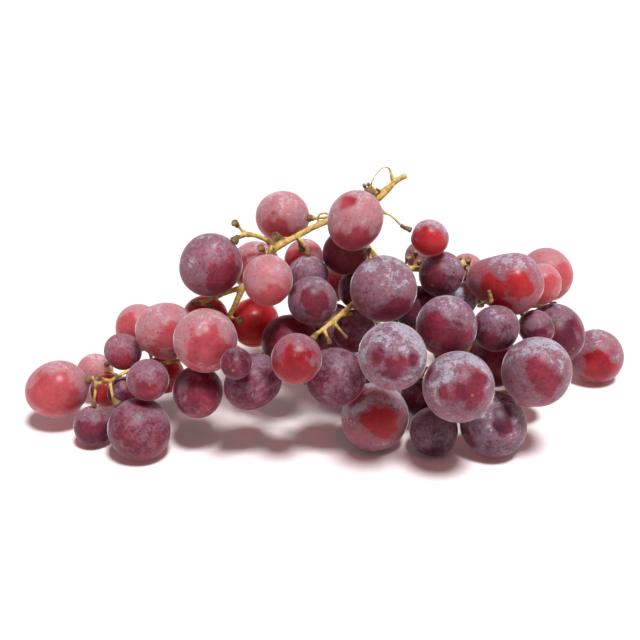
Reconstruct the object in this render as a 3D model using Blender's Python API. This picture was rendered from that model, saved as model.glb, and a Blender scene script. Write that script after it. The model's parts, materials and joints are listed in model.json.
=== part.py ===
"""A bunch of large red table grapes, picked, lying on a flat surface.

Fifty-nine grapes hang on one woody stalk. The grapes were placed by eye: each has the column and row
of its middle in the 640 pixel photograph, a depth judged from what covers what, and its real width and
length. The script turns these into lines of sight, lets the grapes push each other apart until none
touch, sets the lowest ones down on small flat spots, and then grows a short stalk to each from the
nearest stem. Metres, +Z up, +X to the right of the photograph, origin under the middle of the bunch.
"""
import math
from collections import namedtuple

import bmesh
import bpy
import numpy as np
from mathutils import Matrix, Vector

MM = 0.001

# The photograph's view: large table grapes 22 to 26 mm across are 57 to 68 pixels wide in it
PIXELS_PER_MM = 2.6
VIEW_ELEVATION = math.radians(25.0)
VIEW_DISTANCE = 420.0 * MM
MIDDLE_HEIGHT = 40.0 * MM
MIDDLE_COLUMN = 320.0
MIDDLE_ROW = 330.0
FOCAL_PIXELS = PIXELS_PER_MM * VIEW_DISTANCE / MM
LOOKING = np.array([0.0, math.cos(VIEW_ELEVATION), -math.sin(VIEW_ELEVATION)])
RIGHTWARD = np.array([1.0, 0.0, 0.0])
UPWARD = np.array([0.0, math.sin(VIEW_ELEVATION), math.cos(VIEW_ELEVATION)])
EYE = np.array([0.0, 0.0, MIDDLE_HEIGHT]) - VIEW_DISTANCE * LOOKING

# Grapes
GRAPE_GAP = 0.35 * MM
GRAPE_SIDES = 12
GRAPE_RINGS = 7
EGG_SHAPE = 0.05
PRESSED_DEPTH = 0.8 * MM
RESTING_REACH = 2.0 * MM
SETTLING_STEPS = 600
SIGHT_PUSH = 0.45

# Stems and berry stalks
STEM_GAP = 0.65 * MM
STEM_STEP = 5.0 * MM
SEARCH_REACH = 16.0 * MM
SEARCH_DIRECTIONS = 80
WANTED_SPREAD = 0.15
SEEN_COST = 1.6 * MM
FACING = 5.0 * MM
USUAL_STALK = 8.0 * MM
SHORTEST_STALK = 4.5 * MM
BARE_STALK = 5.5 * MM
STALK_ROOT_RADIUS = 0.9 * MM
STALK_RADIUS = 0.6 * MM
COLLAR_RADIUS = 1.7 * MM
COLLAR_SHARE = 0.075
COLLAR_LENGTH = 1.2 * MM
SWELLING_LENGTH = 2.4 * MM
STALK_STEP = 5.5 * MM
STALK_OUTLINE = np.array([0.9, 0.6, 0.9, 1.7, 1.7]) * MM
STALK_GAP = 0.35 * MM
TABLE_CLEARANCE = 1.4 * MM

# column and row in pixels, depth, width and length in mm, colour, the way its stem end points, and how much
# wider it is towards that end
Grape = namedtuple("Grape", "column row depth width length colour stem_end egg", defaults=(None, EGG_SHAPE))
GRAPES = [
    # The upper left shoulder, on both sides of the main stem
    Grape(283, 218, 18, 21.3, 22.0, "rose"),
    Grape(211, 265.5, -8, 23.2, 24.0, "purple", (0.63, 0.0, 0.72)),
    Grape(255, 266, 14, 20.0, 20.6, "rose"),
    Grape(269, 281, -18, 18.4, 19.4, "rose", (0.1, 0.65, 0.75)),
    Grape(304, 258, 16, 15.5, 16.0, "rose"),
    Grape(310.5, 276, 4, 16.1, 16.6, "dark", (0.05, 0.3, 0.95)),
    Grape(314, 301.7, -12, 18.3, 18.8, "purple"),
    Grape(355.4, 220.5, -12, 20.6, 23.4, "rose", (0.4, 0.5, 0.8)),
    Grape(344, 255, 6, 17.6, 18.2, "dark"),
    Grape(357, 290, 14, 16.0, 16.5, "dark"),
    Grape(384, 289, -22, 24.4, 25.2, "purple"),
    Grape(334, 284, 26, 15.0, 15.6, "rose"),
    # The left arm
    Grape(254, 322, 14, 19.6, 20.0, "red"),
    Grape(206, 317, 12, 17.5, 18.0, "red"),
    Grape(139, 328, 10, 19.0, 19.5, "rose"),
    Grape(166, 331, -8, 21.5, 23.0, "rose"),
    Grape(205.5, 341, -26, 23.3, 23.7, "rose"),
    Grape(123.6, 352, 2, 14.0, 14.7, "purple"),
    Grape(148, 380, -18, 15.4, 15.8, "purple"),
    Grape(57.6, 389.3, 8, 22.3, 25.0, "rose", (0.93, 0.15, 0.33)),
    Grape(95, 372, 26, 15.0, 15.4, "rose"),
    Grape(106, 390, 14, 13.4, 13.8, "red"),
    Grape(93.4, 426.2, -3, 14.9, 16.5, "dark", (0.0, 0.13, 0.99)),
    Grape(139.8, 428.2, -14, 23.6, 24.0, "purple", (-0.75, 0.3, 0.6)),
    Grape(123, 392.5, 2, 12.2, 12.6, "dark"),
    Grape(199, 391.8, -15, 18.8, 20.8, "purple"),
    Grape(235.8, 363.2, -30, 11.3, 12.4, "purple"),
    Grape(251.6, 382, -15, 19.7, 23.0, "purple"),
    Grape(296.4, 359, -34, 18.0, 18.4, "red", (0.6, 0.5, 0.6)),
    Grape(290, 343, -2, 21.6, 22.0, "purple"),
    # The middle
    Grape(335.6, 377.2, -18, 22.0, 22.4, "purple"),
    Grape(354, 331, -4, 16.6, 17.0, "dark"),
    Grape(392.3, 355.8, -40, 23.7, 26.1, "purple"),
    Grape(378, 417.2, -8, 25.6, 26.2, "red"),
    Grape(430.4, 430, -10, 18.2, 18.8, "dark"),
    Grape(459, 387.4, -36, 25.0, 25.6, "purple"),
    Grape(494, 423.6, -12, 25.0, 25.6, "dark"),
    # The right arm
    Grape(447, 325.7, -20, 22.4, 22.8, "purple"),
    Grape(496.5, 327.3, -8, 17.2, 17.8, "dark"),
    Grape(536.7, 371, -22, 25.5, 26.6, "purple"),
    Grape(536.2, 327.8, 4, 13.4, 14.8, "purple"),
    Grape(553.5, 334, 24, 25.0, 25.4, "purple"),
    Grape(596.6, 357.3, 47, 22.8, 23.4, "red"),
    Grape(503.5, 284, -2, 23.0, 30.0, "red", (-0.93, 0.35, 0.08), -0.35),
    Grape(541, 284, 16, 16.2, 16.6, "rose"),
    Grape(546, 275, 36, 22.2, 22.8, "rose"),
    Grape(430, 238.2, -12, 13.6, 14.3, "red", (-0.93, 0.15, 0.33)),
    Grape(441, 274.2, -4, 17.2, 18.2, "dark"),
    Grape(466.8, 270, 30, 13.6, 14.0, "rose"),
    Grape(463.6, 297, 9, 13.2, 13.6, "dark"),
    Grape(530, 385, 10, 17.0, 17.4, "red"),
    Grape(495, 362, 6, 19.0, 19.4, "dark"),
    Grape(418, 308, 6, 18.0, 18.4, "dark"),
    Grape(424, 394, 0, 18.0, 18.4, "dark"),
    # Behind, where the photograph doesn't reach
    Grape(352, 374, 30, 19.0, 19.4, "dark"),
    Grape(456, 346, 14, 19.0, 19.4, "dark"),
    Grape(332, 328, 14, 21.0, 21.4, "dark"),
    Grape(165, 374, 12, 15.4, 15.8, "red"),
    Grape(420, 256, 32, 12.4, 12.8, "purple"),
]

# column and row in pixels, depth and radius in mm
Spot = namedtuple("Spot", "column row depth radius")
MAIN_STEM = [
    Spot(406.5, 175.6, 8, 1.0), Spot(401, 178, 8, 1.15), Spot(396.5, 180.5, 8, 1.2), Spot(393, 184, 7.5, 1.05),
    Spot(389, 188, 7, 1.4), Spot(384, 192, 6.5, 1.8), Spot(378, 197, 6, 2.0), Spot(366, 206, 6, 1.8),
    Spot(350, 213, 6, 1.6), Spot(326, 221.5, 3, 1.3), Spot(310, 229, 2, 1.25), Spot(297, 236, 2, 1.25),
    Spot(284, 243, 1, 1.4), Spot(273, 249, 0, 1.9), Spot(264, 264, 0, 1.5), Spot(253, 277, -2, 1.3),
    Spot(243, 287, -2, 1.4), Spot(236, 303, -1, 1.2), Spot(229, 317, 1, 1.1), Spot(219, 336, 2, 1.2),
    Spot(195, 355, 4, 1.0), Spot(165, 363, 2, 0.9), Spot(145, 367, 0, 0.9), Spot(128, 371, -3, 0.8),
    Spot(110, 381, -4, 0.75), Spot(97, 384, -3, 0.75),
]
SIDE_STEMS = [
    # The right shoulder
    [Spot(362, 208, 6, 1.5), Spot(360, 228, 14, 1.4), Spot(368, 248, 20, 1.4), Spot(384, 263, 22, 1.3),
     Spot(404, 268, 18, 1.3), Spot(426, 269, 19, 1.3), Spot(448, 266, 19, 1.3), Spot(462, 264, 13, 1.3),
     Spot(467, 268, 8, 1.3), Spot(474, 277, 12, 1.3), Spot(484, 294, 13, 1.1), Spot(512, 306, 15, 1.1),
     Spot(530, 306, 24, 1.0), Spot(548, 308, 36, 1.0), Spot(572, 328, 44, 1.0)],
    # Down the middle
    [Spot(366, 246, 19, 1.5), Spot(370, 268, 8, 1.4), Spot(364, 290, -2, 1.4), Spot(369, 309, 4, 1.3),
     Spot(383, 331, 8, 1.2), Spot(400, 368, 4, 1.2), Spot(424, 376, -2, 1.2), Spot(455, 378, 0, 1.1),
     Spot(485, 392, 2, 1.1), Spot(510, 392, 0, 1.0)],
    # Short side stems
    [Spot(243, 287, -2, 1.2), Spot(225, 293, -3, 1.1), Spot(210, 300, -3, 1.1), Spot(191, 305, -4, 0.9)],
    [Spot(274, 248, 1, 1.3), Spot(267, 240, 0, 1.1), Spot(256, 235.5, -2, 0.9), Spot(245.7, 234, -3, 1.2),
     Spot(240, 237, -5, 0.8)],
    [Spot(364, 291, -2, 1.2), Spot(352, 305, -7, 1.2), Spot(336, 319, -14, 1.1), Spot(324, 329, -19, 1.0),
     Spot(315, 335, -22, 0.8)],
    [Spot(222, 335, 2, 1.1), Spot(240, 350, 0, 1.0), Spot(262, 362, -4, 0.9), Spot(290, 372, -8, 0.9)],
    [Spot(372, 202, 6, 0.9), Spot(379, 207.5, 5, 0.7), Spot(384, 212.5, 4, 0.8), Spot(389.5, 215, 3, 0.4),
     Spot(395, 219, -1, 0.4), Spot(399.5, 223.5, -4, 0.65), Spot(405, 229, -8, 0.6)],
]
# The forked heel of the cut end with the thin tendril that curls back from it, a looped scar, and the broken
# stub that stands on grape_39
THIN_STEMS = [
    [Spot(393.5, 183, 7.5, 1.0), Spot(392, 176, 7.5, 0.9), Spot(390.5, 171, 7.5, 0.55), Spot(389.2, 168.3, 7, 0.4),
     Spot(386.3, 167.2, 6, 0.35), Spot(382.5, 168, 5, 0.35), Spot(378.5, 171.5, 4, 0.35),
     Spot(375, 176, 3, 0.35), Spot(372.5, 181, 3, 0.4), Spot(371, 186, 3, 0.6), Spot(373, 192, 4, 0.7),
     Spot(376, 197, 6, 0.9)],
    [Spot(319, 223, 3, 0.7), Spot(317.8, 217.5, 2, 0.5), Spot(320, 214, 1, 0.5), Spot(326, 213, 1, 0.5),
     Spot(330, 215.5, 2, 0.5), Spot(331, 221, 3, 0.7)],
    [Spot(484, 294, 13, 1.0), Spot(483, 306, 6, 0.7), Spot(479, 306.5, 0, 0.65), Spot(478.5, 305.5, -4, 0.65),
     Spot(485, 302.5, -10, 0.7), Spot(490.5, 300.5, -12, 1.4), Spot(490, 295.5, -14, 1.0), Spot(489, 290, -15, 0.65)],
]
# The berry stalks whose grapes are gone: where each warty end shows, and its radius
BARE_ENDS = [
    Spot(236, 224, -6, 1.5), Spot(277, 237, 5, 2.0), Spot(261.7, 248.5, -6, 1.5), Spot(301.5, 248, 0, 1.5),
    Spot(239.2, 320, -4, 1.6), Spot(364.8, 186.5, 3, 0.7), Spot(369.5, 185.5, 2, 0.9), Spot(377.3, 189.5, 2, 0.5),
    Spot(108, 371, -8, 1.2), Spot(98, 378, -6, 1.2), Spot(463, 263, 6, 1.1), Spot(468.5, 261, 6, 1.2),
    Spot(476, 265, 6, 1.2), Spot(469, 269, 4, 1.2), Spot(408, 258, 8, 1.3), Spot(416, 253, 10, 1.2),
    Spot(420, 261, 8, 1.2), Spot(369, 251, 4, 1.0), Spot(345.5, 336, -16, 0.8), Spot(350, 314, -12, 0.8),
    Spot(329, 341, -22, 0.9), Spot(212, 307.5, -5, 1.0),
]
BARE_DEPTH_PLAY = 6.0 * MM

# colour, roughness
FINISHES = {
    "rose": ((0.52, 0.13, 0.18), 0.42),
    "red": ((0.36, 0.02, 0.03), 0.25),
    "purple": ((0.30, 0.09, 0.15), 0.45),
    "dark": ((0.11, 0.03, 0.06), 0.40),
    "stalk": ((0.45, 0.33, 0.10), 0.70),
}


def clear_scene():
    for thing in list(bpy.data.objects):
        bpy.data.objects.remove(thing, do_unlink=True)


def make_material(name, colour, roughness):
    material = bpy.data.materials.new(name)
    material.use_nodes = True
    shader = material.node_tree.nodes["Principled BSDF"]
    shader.inputs["Base Color"].default_value = (*colour, 1.0)
    shader.inputs["Roughness"].default_value = roughness
    shader.inputs["Metallic"].default_value = 0.0
    return material


def make_collection(name):
    collection = bpy.data.collections.new(name)
    bpy.context.scene.collection.children.link(collection)
    return collection


def line_of_sight(column, row, depth):
    """The point at a depth behind the view's middle plane that shows at this column and row."""
    reach = VIEW_DISTANCE + depth
    across = (column - MIDDLE_COLUMN) * reach / FOCAL_PIXELS
    up = (MIDDLE_ROW - row) * reach / FOCAL_PIXELS
    return EYE + LOOKING * reach + RIGHTWARD * across + UPWARD * up


def unit(vectors):
    return vectors / np.linalg.norm(vectors, axis=-1, keepdims=True)


def smooth_path(spots, step):
    """Points and radii on a Catmull-Rom curve through the spots, about a step apart."""
    knots = np.array([[*line_of_sight(s.column, s.row, s.depth * MM), s.radius * MM] for s in spots])
    knots = np.vstack([2 * knots[0] - knots[1], knots, 2 * knots[-1] - knots[-2]])
    path = []
    for before, start, end, after in zip(knots, knots[1:], knots[2:], knots[3:]):
        count = max(1, round(np.linalg.norm(end[:3] - start[:3]) / step))
        for t in np.arange(count) / count:
            bend = 2 * before - 5 * start + 4 * end - after
            twist = 3 * start - before - 3 * end + after
            path.append(start + 0.5 * t * ((end - before) + t * (bend + t * twist)))
    path.append(knots[-2])
    path = np.array(path)
    return path[:, :3], path[:, 3]


def finer(points, radii):
    """The same line of points with one more in the middle of each stretch."""
    middles = (points[1:] + points[:-1]) / 2
    middle_radii = (radii[1:] + radii[:-1]) / 2
    order = np.argsort(np.concatenate([np.arange(len(points)), np.arange(len(middles)) + 0.5]))
    return np.vstack([points, middles])[order], np.concatenate([radii, middle_radii])[order]


def push_apart(places, sizes):
    """Half of each move that would clear every pair of grapes, shared between the two."""
    apart = places[None] - places[:, None]
    distance = np.linalg.norm(apart, axis=2) + 1e-9
    need = np.clip(sizes[:, None] + sizes[None] + GRAPE_GAP - distance, 0, None)
    np.fill_diagonal(need, 0)
    return -0.25 * ((need / distance)[..., None] * apart).sum(1)


def push_off_stems(places, sizes, stem_points, stem_radii):
    apart = places[:, None] - stem_points[None]
    distance = np.linalg.norm(apart, axis=2) + 1e-9
    need = np.clip(sizes[:, None] + stem_radii[None] + STEM_GAP - distance, 0, None)
    rows = np.arange(len(places))
    worst = need.argmax(1)
    return 0.5 * (need[rows, worst] / distance[rows, worst])[:, None] * apart[rows, worst]


def settle_grapes(stem_points, stem_radii):
    """The grapes' middles once none overlap, with the lowest ones on the table."""
    sizes = np.array([min(max(g.width, g.length), 1.15 * g.width) / 2 * MM for g in GRAPES])
    homes = np.array([line_of_sight(g.column, g.row, g.depth * MM) for g in GRAPES])
    sights = unit(homes - EYE)
    places = homes.copy()
    resting = np.zeros(len(places), bool)
    for step in range(SETTLING_STEPS):
        progress = step / SETTLING_STEPS
        hold = 0.10 * max(0.0, 1 - progress / 0.8)
        away = homes - places
        along = (away * sights).sum(1)[:, None] * sights
        places += 2 * hold * (away - along) + 0.15 * hold * along
        push = push_apart(places, sizes) + push_off_stems(places, sizes, stem_points, stem_radii)
        places += push + SIGHT_PUSH * ((push * sights).sum(1)[:, None] * sights - push)
        if progress < 0.5:
            resting = places[:, 2] - sizes < RESTING_REACH
        lowest = np.where(resting, sizes - PRESSED_DEPTH, sizes)
        places[:, 2] = np.where(resting, lowest, np.maximum(places[:, 2], lowest))
    return places, sizes, resting


def even_directions(count):
    """Directions spread evenly over a sphere, on a golden spiral."""
    turn = np.arange(count) + 0.5
    height = 1 - 2 * turn / count
    angle = turn * math.pi * (3 - math.sqrt(5))
    flat = np.sqrt(1 - height * height)
    return np.stack([flat * np.cos(angle), flat * np.sin(angle), height], 1)


def bezier(roots, ends, arrivals, along):
    """Curves from the stem to each end, which they reach along the arrival direction."""
    span = np.linalg.norm(ends - roots, axis=1)[:, None]
    first = roots + (ends - roots) * 0.35
    second = ends + arrivals * span * 0.38
    t = np.asarray(along)[:, None, None]
    return (1 - t) ** 3 * roots + 3 * t * (1 - t) ** 2 * first + 3 * t * t * (1 - t) * second + t ** 3 * ends


class StalkFinder:
    """Finds, for one end after another, the stalk that reaches it clear of everything else."""

    def __init__(self, stem_points, places, sizes):
        self.stem_points = stem_points
        self.places = places
        self.sizes = sizes
        self.taken = []

    def cut_in(self, curves, collars, own):
        """How deep each stalk and its collar run into grapes and the table, summed over their points."""
        outline = np.concatenate([curves, collars[None]])
        thick = np.interp(np.arange(10), [0, 3, 7, 8, 9], STALK_OUTLINE)[:, None]
        depth = np.clip(TABLE_CLEARANCE - outline[..., 2], 0, None).sum(0)
        low, high = outline.min((0, 1)), outline.max((0, 1))
        for number, (place, size) in enumerate(zip(self.places, self.sizes)):
            if (place < low - size - COLLAR_RADIUS).any() or (place > high + size + COLLAR_RADIUS).any():
                continue
            if number == own:
                distance = np.linalg.norm(curves[:-2] - place, axis=2)
                depth += np.clip(size + 0.9 * MM - distance, 0, None).sum(0)
            else:
                distance = np.linalg.norm(outline - place, axis=2)
                depth += np.clip(size + thick + STALK_GAP - distance, 0, None).sum(0)
        return depth

    def seen(self, curves):
        """How many of each stalk's points show between the grapes in the photograph's view."""
        sight = unit(EYE - curves)
        shown = np.ones(curves.shape[:2], bool)
        for place, size in zip(self.places, self.sizes):
            off = place - curves
            along = (off * sight).sum(-1)
            shown &= (along < 0) | ((off ** 2).sum(-1) - along ** 2 > size ** 2)
        return shown.sum(0)

    def best(self, roots, ends, arrivals, usual, own=None, wanted=None):
        curves = bezier(roots, ends, arrivals, np.linspace(0, 1, 9))
        length = np.linalg.norm(np.diff(curves, axis=0), axis=2).sum(0)
        collars = ends - arrivals * COLLAR_LENGTH
        cost = np.abs(length - usual) + 14 * self.cut_in(curves, collars, own)
        cost += 8 * np.clip(SHORTEST_STALK - length, 0, None)
        middle = ends.mean(0)
        for other in self.taken:
            if np.linalg.norm(other[-1] - middle) > SEARCH_REACH:
                continue
            near = np.linalg.norm(curves[3:, :, None] - other[None, None, 3:], axis=3).min((0, 2))
            cost += 6 * np.clip(2.6 * MM - near, 0, None)
        if own is not None and wanted is None:
            cost += SEEN_COST * self.seen(curves)
        choice = cost.argmin()
        self.taken.append(curves[:, choice])
        return roots[choice], ends[choice], arrivals[choice]

    def to_grape(self, number, grape):
        """The stalk that meets a grape's stem end, wherever on the grape that is."""
        place = self.places[number]
        ways = even_directions(SEARCH_DIRECTIONS)
        if grape.stem_end is not None:
            ways = unit(unit(np.array(grape.stem_end)) + WANTED_SPREAD * ways)
        tips = place + ways * (grape.length / 2 * MM + GRAPE_GAP + COLLAR_LENGTH)
        away = np.linalg.norm(self.stem_points - place, axis=1)
        near = self.stem_points[away < away.min() + SEARCH_REACH]
        way, root = np.divmod(np.arange(len(ways) * len(near)), len(near))
        return self.best(near[root], tips[way], ways[way], USUAL_STALK, number, grape.stem_end)

    def to_bare_end(self, spot):
        depths = spot.depth * MM + np.linspace(-BARE_DEPTH_PLAY, BARE_DEPTH_PLAY, 7)
        tips = np.array([line_of_sight(spot.column, spot.row, depth) for depth in depths])
        away = np.linalg.norm(self.stem_points - tips[len(tips) // 2], axis=1)
        near = self.stem_points[away < away.min() + SEARCH_REACH / 2]
        tip, root = np.divmod(np.arange(len(tips) * len(near)), len(near))
        arrivals = unit(near[root] - tips[tip] + FACING * LOOKING)
        return self.best(near[root], tips[tip], arrivals, BARE_STALK)


def stalk_profile(root, tip, arrival, collar_radius):
    """Points and radii of one berry stalk: slim, then a swelling, then a short round collar."""
    fine = bezier(root[None], tip[None], arrival[None], np.linspace(0, 1, 33))[:, 0]
    run = np.concatenate([[0], np.linalg.norm(np.diff(fine, axis=0), axis=1).cumsum()])
    slim = max(run[-1] - SWELLING_LENGTH, 0.4 * run[-1])
    stations = np.append(np.linspace(0, slim, max(2, round(slim / STALK_STEP) + 1)), run[-1])
    points = np.stack([np.interp(stations, run, fine[:, axis]) for axis in range(3)], 1)
    radii = np.interp(stations, [0, min(3 * MM, slim), slim], [STALK_ROOT_RADIUS, STALK_RADIUS, STALK_RADIUS])
    radii[-1] = 0.9 * collar_radius
    points = np.vstack([points, tip - arrival * COLLAR_LENGTH])
    return points, np.append(radii, collar_radius)


def make_tube(name, points, radii, roundness, collection):
    """A round tube through the points, as a curve with filled ends; roundness 1 is six sides, 2 is eight."""
    curve = bpy.data.curves.new(name, "CURVE")
    curve.dimensions = "3D"
    curve.bevel_depth = MM
    curve.bevel_resolution = roundness
    curve.use_fill_caps = True
    spline = curve.splines.new("POLY")
    spline.points.add(len(points) - 1)
    for spot, place, radius in zip(spline.points, points, radii):
        spot.co = (*place, 1.0)
        spot.radius = radius / MM
    tube = bpy.data.objects.new(name, curve)
    collection.objects.link(tube)
    return tube


def curves_to_meshes(curves, collection):
    """The same tubes as closed meshes, with their end caps welded on."""
    bpy.context.view_layer.update()
    graph = bpy.context.evaluated_depsgraph_get()
    solids = []
    for curve in curves:
        mesh = bpy.data.meshes.new_from_object(curve.evaluated_get(graph))
        shape = bmesh.new()
        shape.from_mesh(mesh)
        bmesh.ops.remove_doubles(shape, verts=shape.verts, dist=1e-6)
        bmesh.ops.recalc_face_normals(shape, faces=shape.faces)
        shape.to_mesh(mesh)
        shape.free()
        solid = bpy.data.objects.new(curve.name + "_solid", mesh)
        solid.matrix_world = curve.matrix_world
        collection.objects.link(solid)
        solids.append(solid)
    for curve in curves:
        bpy.data.objects.remove(curve, do_unlink=True)
    return solids


def join_solids(name, trunk, others, collection):
    """One closed body: the trunk with all the others fused to it."""
    united = trunk.modifiers.new("joined", "BOOLEAN")
    united.operation = "UNION"
    united.operand_type = "COLLECTION"
    united.collection = others
    united.solver = "EXACT"
    bpy.context.view_layer.update()
    graph = bpy.context.evaluated_depsgraph_get()
    mesh = bpy.data.meshes.new_from_object(trunk.evaluated_get(graph))
    mesh.name = name
    body = bpy.data.objects.new(name, mesh)
    collection.objects.link(body)
    for piece in list(others.objects) + [trunk]:
        bpy.data.objects.remove(piece, do_unlink=True)
    bpy.data.collections.remove(others)
    return body


def make_stalk(profiles, collection):
    """The whole stalk: main stem, side stems, tendril and every berry stalk, fused in one body."""
    others = make_collection("stalk_pieces")
    main = make_tube("main_stem", *smooth_path(MAIN_STEM, STEM_STEP), 2, collection)
    tubes = [make_tube(f"side_stem_{n}", *smooth_path(spots, STEM_STEP), 1, others)
             for n, spots in enumerate(SIDE_STEMS)]
    tubes += [make_tube(f"thin_stem_{n}", *smooth_path(spots, STEM_STEP), 1, others)
              for n, spots in enumerate(THIN_STEMS)]
    tubes += [make_tube(f"berry_stalk_{n}", *profile, 1, others) for n, profile in enumerate(profiles)]
    trunk = curves_to_meshes([main], collection)[0]
    curves_to_meshes(tubes, others)
    return join_solids("stalk", trunk, others, collection)


def make_grape(name, grape, place, stem_end, on_table, collection):
    """An egg-shaped grape, its stem end along its own +Z, with a flat spot where it rests on the table."""
    shape = bmesh.new()
    bmesh.ops.create_uvsphere(shape, u_segments=GRAPE_SIDES, v_segments=GRAPE_RINGS, radius=1.0)
    for vertex in shape.verts:
        swell = 1 + grape.egg * vertex.co.z * (1 - vertex.co.z ** 2)
        vertex.co.x *= grape.width / 2 * MM * swell
        vertex.co.y *= grape.width / 2 * MM * swell
        vertex.co.z *= grape.length / 2 * MM
    turned = Vector(stem_end).to_track_quat("Z", "Y").to_matrix().to_4x4()
    pose = Matrix.Translation(place) @ turned
    if on_table:
        back = pose.inverted()
        cut = bmesh.ops.bisect_plane(shape, geom=shape.verts[:] + shape.edges[:] + shape.faces[:],
                                     plane_co=back @ Vector((place[0], place[1], 0.0)),
                                     plane_no=back.to_3x3() @ Vector((0, 0, -1)), clear_outer=True)
        rim = [part for part in cut["geom_cut"] if isinstance(part, bmesh.types.BMEdge)]
        bmesh.ops.edgeloop_fill(shape, edges=rim)
        bmesh.ops.recalc_face_normals(shape, faces=shape.faces)
    mesh = bpy.data.meshes.new(name)
    shape.to_mesh(mesh)
    shape.free()
    mesh.shade_smooth()
    mesh.set_sharp_from_angle(angle=math.radians(50))
    body = bpy.data.objects.new(name, mesh)
    body.matrix_world = pose
    collection.objects.link(body)
    return body


def stand_on_origin(pieces, holder):
    """Moves the whole bunch so that the origin is under its middle, on the table."""
    bpy.context.view_layer.update()
    corners = np.array([piece.matrix_world @ vertex.co for piece in pieces for vertex in piece.data.vertices])
    low, high = corners.min(0), corners.max(0)
    holder.location = (-(low[0] + high[0]) / 2, -(low[1] + high[1]) / 2, -low[2])


def main():
    clear_scene()
    collection = make_collection("bunch_of_grapes")
    materials = {name: make_material(name, *finish) for name, finish in FINISHES.items()}
    paths = [finer(*smooth_path(spots, STEM_STEP)) for spots in [MAIN_STEM] + SIDE_STEMS]
    stem_points = np.vstack([points for points, _ in paths])
    stem_radii = np.concatenate([radii for _, radii in paths])
    places, sizes, resting = settle_grapes(stem_points, stem_radii)

    finder = StalkFinder(stem_points, places, sizes)
    profiles = []
    for spot in BARE_ENDS:
        profiles.append(stalk_profile(*finder.to_bare_end(spot), spot.radius * MM))
    stem_ends = {}
    from_stem = np.linalg.norm(places[:, None] - stem_points[None], axis=2).min(1)
    for number in np.argsort(from_stem):
        grape = GRAPES[number]
        root, tip, stem_end = finder.to_grape(number, grape)
        collar = min(COLLAR_RADIUS, COLLAR_SHARE * grape.width * MM)
        profiles.append(stalk_profile(root, tip, stem_end, collar))
        stem_ends[number] = stem_end

    holder = bpy.data.objects.new("bunch", None)
    collection.objects.link(holder)
    pieces = [make_stalk(profiles, collection)]
    pieces[0].data.materials.clear()
    pieces[0].data.materials.append(materials["stalk"])
    for number, grape in enumerate(GRAPES):
        body = make_grape(f"grape_{number + 1:02d}", grape, places[number], stem_ends[number],
                          resting[number], collection)
        body.data.materials.append(materials[grape.colour])
        pieces.append(body)
    for piece in pieces:
        piece.parent = holder
    stand_on_origin(pieces, holder)


main()
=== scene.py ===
"""The looks of a bunch of large red table grapes: skins with a patchy waxy bloom, and a woody stalk.

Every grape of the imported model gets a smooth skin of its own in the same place, and the stalk a finer one
with warty swollen ends. It is laid out as an add-on and run as a script. Metres, +Z up.
"""
import json
import math
import random
from collections import namedtuple

import bmesh
import bpy
import numpy as np
from bpy.props import FloatProperty, FloatVectorProperty, IntProperty, PointerProperty
from bpy.types import Operator, Panel, PropertyGroup
from mathutils import Matrix, Vector, kdtree, noise


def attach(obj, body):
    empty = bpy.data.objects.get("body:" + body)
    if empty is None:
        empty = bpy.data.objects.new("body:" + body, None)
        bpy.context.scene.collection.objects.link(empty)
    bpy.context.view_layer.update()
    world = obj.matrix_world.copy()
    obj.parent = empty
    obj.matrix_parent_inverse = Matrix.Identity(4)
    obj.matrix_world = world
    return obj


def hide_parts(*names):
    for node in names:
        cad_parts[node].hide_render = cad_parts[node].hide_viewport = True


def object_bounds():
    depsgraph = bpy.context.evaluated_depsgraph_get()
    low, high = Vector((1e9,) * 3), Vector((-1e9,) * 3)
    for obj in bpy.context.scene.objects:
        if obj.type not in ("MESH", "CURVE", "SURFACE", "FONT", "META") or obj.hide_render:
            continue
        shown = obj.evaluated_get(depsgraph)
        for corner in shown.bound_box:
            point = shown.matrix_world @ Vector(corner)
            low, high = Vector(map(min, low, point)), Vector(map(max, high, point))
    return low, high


bl_info = {
    "name": "Bunch of Grapes",
    "version": (1, 0, 0),
    "blender": (4, 5, 0),
    "location": "3D View > Sidebar > Grapes",
    "description": "Dresses a bunch of table grapes with bloomed skins and a woody stalk",
    "category": "Object",
}

MM = 0.001

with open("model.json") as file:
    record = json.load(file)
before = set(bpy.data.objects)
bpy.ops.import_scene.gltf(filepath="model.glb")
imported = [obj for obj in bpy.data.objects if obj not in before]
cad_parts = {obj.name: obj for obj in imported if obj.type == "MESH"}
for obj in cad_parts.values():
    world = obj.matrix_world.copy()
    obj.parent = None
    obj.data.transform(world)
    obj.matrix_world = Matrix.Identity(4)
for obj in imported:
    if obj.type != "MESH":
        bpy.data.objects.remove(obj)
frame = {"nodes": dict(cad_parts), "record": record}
LOW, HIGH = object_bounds()
LENGTH = HIGH.x - LOW.x

# How the solids were made: a faceted grape has this many sides and rings, and is a little wider towards its
# stem end, but for one that is narrow there
SOLID_SIDES = 12
SOLID_RINGS = 7
USUAL_EGG = 0.05
EGG_SHAPES = {"grape_44": -0.35}
WELD = 0.002 * MM

# The photograph's frame, in pixels, and the row of it where the middle of the view falls
PHOTO_SIZE = 640
MIDDLE_ROW = 330
SENSOR_WIDTH = 36.0

# How far the skins and the fine stalk stay above the table
SKIN_CLEARANCE = 0.02 * MM
STALK_CLEARANCE = 0.1 * MM

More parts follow.
